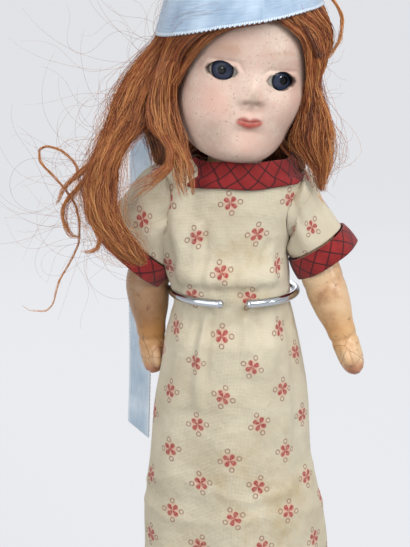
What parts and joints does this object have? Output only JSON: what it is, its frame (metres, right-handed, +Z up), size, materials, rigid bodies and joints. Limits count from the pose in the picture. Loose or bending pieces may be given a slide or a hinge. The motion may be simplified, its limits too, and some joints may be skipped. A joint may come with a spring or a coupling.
{
  "type": "cardboard head doll",
  "caption": "Dressed doll with a pressed-cardboard head, glass eyes, auburn wig, ribbon, calico dress and strung composition limbs, held at the waist by a chromed display stand.",
  "frame": {"origin": "centre of the stand base's underside", "axes": "+Z up along the doll, the doll faces -Y, and +X is the doll's left"},
  "size_m": [0.1422, 0.112, 0.3572],
  "materials": {
    "chrome": "polished nickel-chrome plate",
    "composition": "varnished composition, aged yellow with brown stains",
    "cardboard": "pressed cardboard, dipped and painted in worn flesh paint",
    "pate_card": "bare grey-brown pressed card",
    "eye_glass": "blown glass with a dark blue-grey iris",
    "plaster": "cast plaster",
    "plug_wood": "turned pine",
    "cap_net": "gauze wig cap",
    "hair": "auburn hair in loose locks",
    "satin": "pale blue satin with picot edges",
    "calico": "printed cotton with small red flowers",
    "plaid": "red and black plaid cotton on the bias",
    "elastic": "cotton-covered elastic"
  },
  "bodies": {
    "stand": {"stand_base": "chrome", "post_tube": "chrome", "clamp_collar": "chrome"},
    "screw": {"clamp_screw": "chrome"},
    "figure": {"stand_rod": "chrome", "waist_clip": "chrome", "torso": "composition", "arm_elastic": "elastic", "leg_elastic": "elastic", "neck_elastic": "elastic", "dress": "calico", "neckband": "plaid"},
    "head": {"head_shell": "cardboard", "crown_pate": "pate_card", "left_eye": "eye_glass", "right_eye": "eye_glass", "eye_bed": "plaster", "neck_plug": "plug_wood", "wig_cap": "cap_net", "hair_crown": "hair", "hair_fall_right": "hair", "hair_fall_left": "hair", "hair_fall_back": "hair", "hair_strand": "hair", "hair_curl_loop": "hair", "ribbon_band": "satin", "ribbon_knot": "satin", "ribbon_tail_long": "satin", "ribbon_tail_short": "satin"},
    "left_arm": {"left_arm": "composition", "left_sleeve": "calico", "left_cuff": "plaid"},
    "right_arm": {"right_arm": "composition", "right_sleeve": "calico", "right_cuff": "plaid"},
    "left_leg": {"left_leg": "composition"},
    "right_leg": {"right_leg": "composition"}
  },
  "joints": [
    {"name": "clamp_screw_turn", "type": "hinge", "parent": "stand", "child": "screw", "pos_m": [0, 0.038, 0.13025], "axis": [0, 1, 0], "continuous": true},
    {"name": "stand_height", "type": "slide", "parent": "stand", "child": "figure", "axis": [0, 0, 1], "range_m": [-0.003, 0.04]},
    {"name": "head_turn", "type": "hinge", "parent": "figure", "child": "head", "pos_m": [0, 0.002, 0.277], "axis": [0, 0, 1], "range_deg": [-45, 45], "deforming": ["hair_fall_right", "hair_fall_left", "hair_fall_back", "hair_strand", "hair_curl_loop", "ribbon_tail_long", "ribbon_tail_short"]},
    {"name": "left_arm_swing", "type": "hinge", "parent": "figure", "child": "left_arm", "pos_m": [0.0282, 0.002, 0.261], "axis": [-1, 0, 0], "range_deg": [-25, 80], "deforming": ["left_sleeve"]},
    {"name": "right_arm_swing", "type": "hinge", "parent": "figure", "child": "right_arm", "pos_m": [-0.0282, 0.002, 0.261], "axis": [-1, 0, 0], "range_deg": [-15, 80], "deforming": ["right_sleeve"]},
    {"name": "left_leg_swing", "type": "hinge", "parent": "figure", "child": "left_leg", "pos_m": [0.0142, 0, 0.186], "axis": [-1, 0, 0], "range_deg": [-8, 8]},
    {"name": "right_leg_swing", "type": "hinge", "parent": "figure", "child": "right_leg", "pos_m": [-0.0142, 0, 0.186], "axis": [-1, 0, 0], "range_deg": [-8, 8]}
  ]
}
